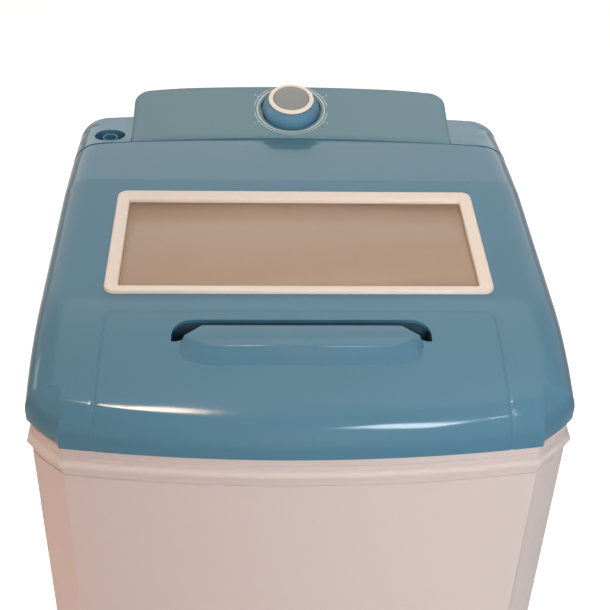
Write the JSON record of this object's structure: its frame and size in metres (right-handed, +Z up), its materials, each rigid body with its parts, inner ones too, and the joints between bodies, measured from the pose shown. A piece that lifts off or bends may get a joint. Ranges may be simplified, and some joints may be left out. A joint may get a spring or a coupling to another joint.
{
  "type": "laundry spin dryer",
  "caption": "Upright single-tub laundry spin dryer: hinged lid with a window and finger handle, timer console behind it, perforated drum on a sprung motor with a lid brake.",
  "frame": {"origin": "middle of the footprint, on the floor under the feet", "axes": "+Z up, front towards -Y, +X to the right of someone who stands in front"},
  "size_m": [0.4336, 0.4796, 0.6903],
  "materials": {
    "body_shell": "semi-gloss moulding",
    "top_rim": "semi-gloss moulding",
    "base_tray": "matte",
    "feet": "matte",
    "base_screws": "zinc plated",
    "rear_panel": "semi-gloss moulding",
    "panel_screws": "zinc plated",
    "rear_deck": "gloss moulding",
    "deck_screws": "zinc plated",
    "console": "gloss moulding",
    "lid": "gloss moulding",
    "window_frame": "gloss moulding",
    "window_pane": "smoked clear plastic",
    "hinge_pins": "drawn",
    "knob_skirt": "gloss moulding",
    "knob_ring": "gloss moulding",
    "knob_cap": "gloss",
    "timer_shaft": "drawn",
    "timer_case": "matte",
    "inlet_nozzle": "gloss moulding",
    "inlet_hose": "matte",
    "top_collar": "semi-gloss moulding",
    "collar_screws": "zinc plated",
    "outer_tub": "matte",
    "drum": "stainless, brushed",
    "drum_hub": "cast",
    "drum_nut": "gloss",
    "drive_shaft": "ground",
    "bellows_seal": "matte",
    "seal_bush": "turned",
    "brake_drum": "turned",
    "motor_stator": "laminated",
    "motor_top": "cast",
    "motor_bottom": "cast",
    "motor_rotor": "turned",
    "motor_bolts": "zinc plated",
    "motor_plate": "satin black",
    "spring_front_left": "wound wire",
    "spring_front_right": "wound wire",
    "spring_back": "wound wire",
    "spring_cups": "matte",
    "brake_arm": "zinc plated",
    "brake_pad": "brake lining",
    "brake_pin": "turned",
    "brake_spring": "wound wire",
    "brake_wire": "wire",
    "brake_cable": "sheath",
    "cable_stop": "zinc plated",
    "brake_actuator": "matte",
    "capacitor": "matte",
    "capacitor_clip": "sheet",
    "drain_hose": "matte",
    "drain_spigot": "matte",
    "cord_gland": "matte",
    "lid_bumpers": "matte",
    "lid_switch": "matte"
  },
  "bodies": {
    "cabinet": {"body_shell": "body_shell", "top_rim": "top_rim", "base_tray": "base_tray", "feet": "feet", "base_screws": "base_screws", "rear_panel": "rear_panel", "panel_screws": "panel_screws", "rear_deck": "rear_deck", "deck_screws": "deck_screws", "console": "console", "timer_case": "timer_case", "inlet_nozzle": "inlet_nozzle", "inlet_hose": "inlet_hose", "top_collar": "top_collar", "collar_screws": "collar_screws", "outer_tub": "outer_tub", "bellows_seal": "bellows_seal", "seal_bush": "seal_bush", "motor_stator": "motor_stator", "motor_top": "motor_top", "motor_bottom": "motor_bottom", "motor_bolts": "motor_bolts", "motor_plate": "motor_plate", "spring_front_left": "spring_front_left", "spring_front_right": "spring_front_right", "spring_back": "spring_back", "spring_cups": "spring_cups", "brake_pin": "brake_pin", "brake_spring": "brake_spring", "brake_wire": "brake_wire", "brake_cable": "brake_cable", "cable_stop": "cable_stop", "brake_actuator": "brake_actuator", "capacitor": "capacitor", "capacitor_clip": "capacitor_clip", "drain_hose": "drain_hose", "drain_spigot": "drain_spigot", "cord_gland": "cord_gland", "lid_bumpers": "lid_bumpers", "lid_switch": "lid_switch"},
    "lid": {"lid": "lid", "window_frame": "window_frame", "window_pane": "window_pane", "hinge_pins": "hinge_pins"},
    "knob": {"knob_skirt": "knob_skirt", "knob_ring": "knob_ring", "knob_cap": "knob_cap", "timer_shaft": "timer_shaft"},
    "spinner": {"drum": "drum", "drum_hub": "drum_hub", "drum_nut": "drum_nut", "drive_shaft": "drive_shaft", "brake_drum": "brake_drum", "motor_rotor": "motor_rotor"},
    "brake": {"brake_arm": "brake_arm", "brake_pad": "brake_pad"}
  },
  "joints": [
    {"name": "lid_hinge", "type": "hinge", "parent": "cabinet", "child": "lid", "pos_m": [0, 0.13, 0.65], "axis": [-1, 0, 0], "range_deg": [0, 95]},
    {"name": "timer_turn", "type": "hinge", "parent": "cabinet", "child": "knob", "pos_m": [0, 0.20143, 0.66905], "axis": [0, 0.2164, -0.9763], "range_deg": [0, 300]},
    {"name": "drum_spin", "type": "hinge", "parent": "cabinet", "child": "spinner", "pos_m": [0, -0.02, 0.3], "axis": [0, 0, 1], "continuous": true},
    {"name": "brake_swing", "type": "hinge", "parent": "cabinet", "child": "brake", "pos_m": [0.066, -0.07, 0.141], "axis": [0, 0, 1], "range_deg": [0, 2.4]}
  ],
  "couplings": [
    {"joint": "brake_swing", "follows": "lid_hinge", "ratio": 0.0252}
  ]
}
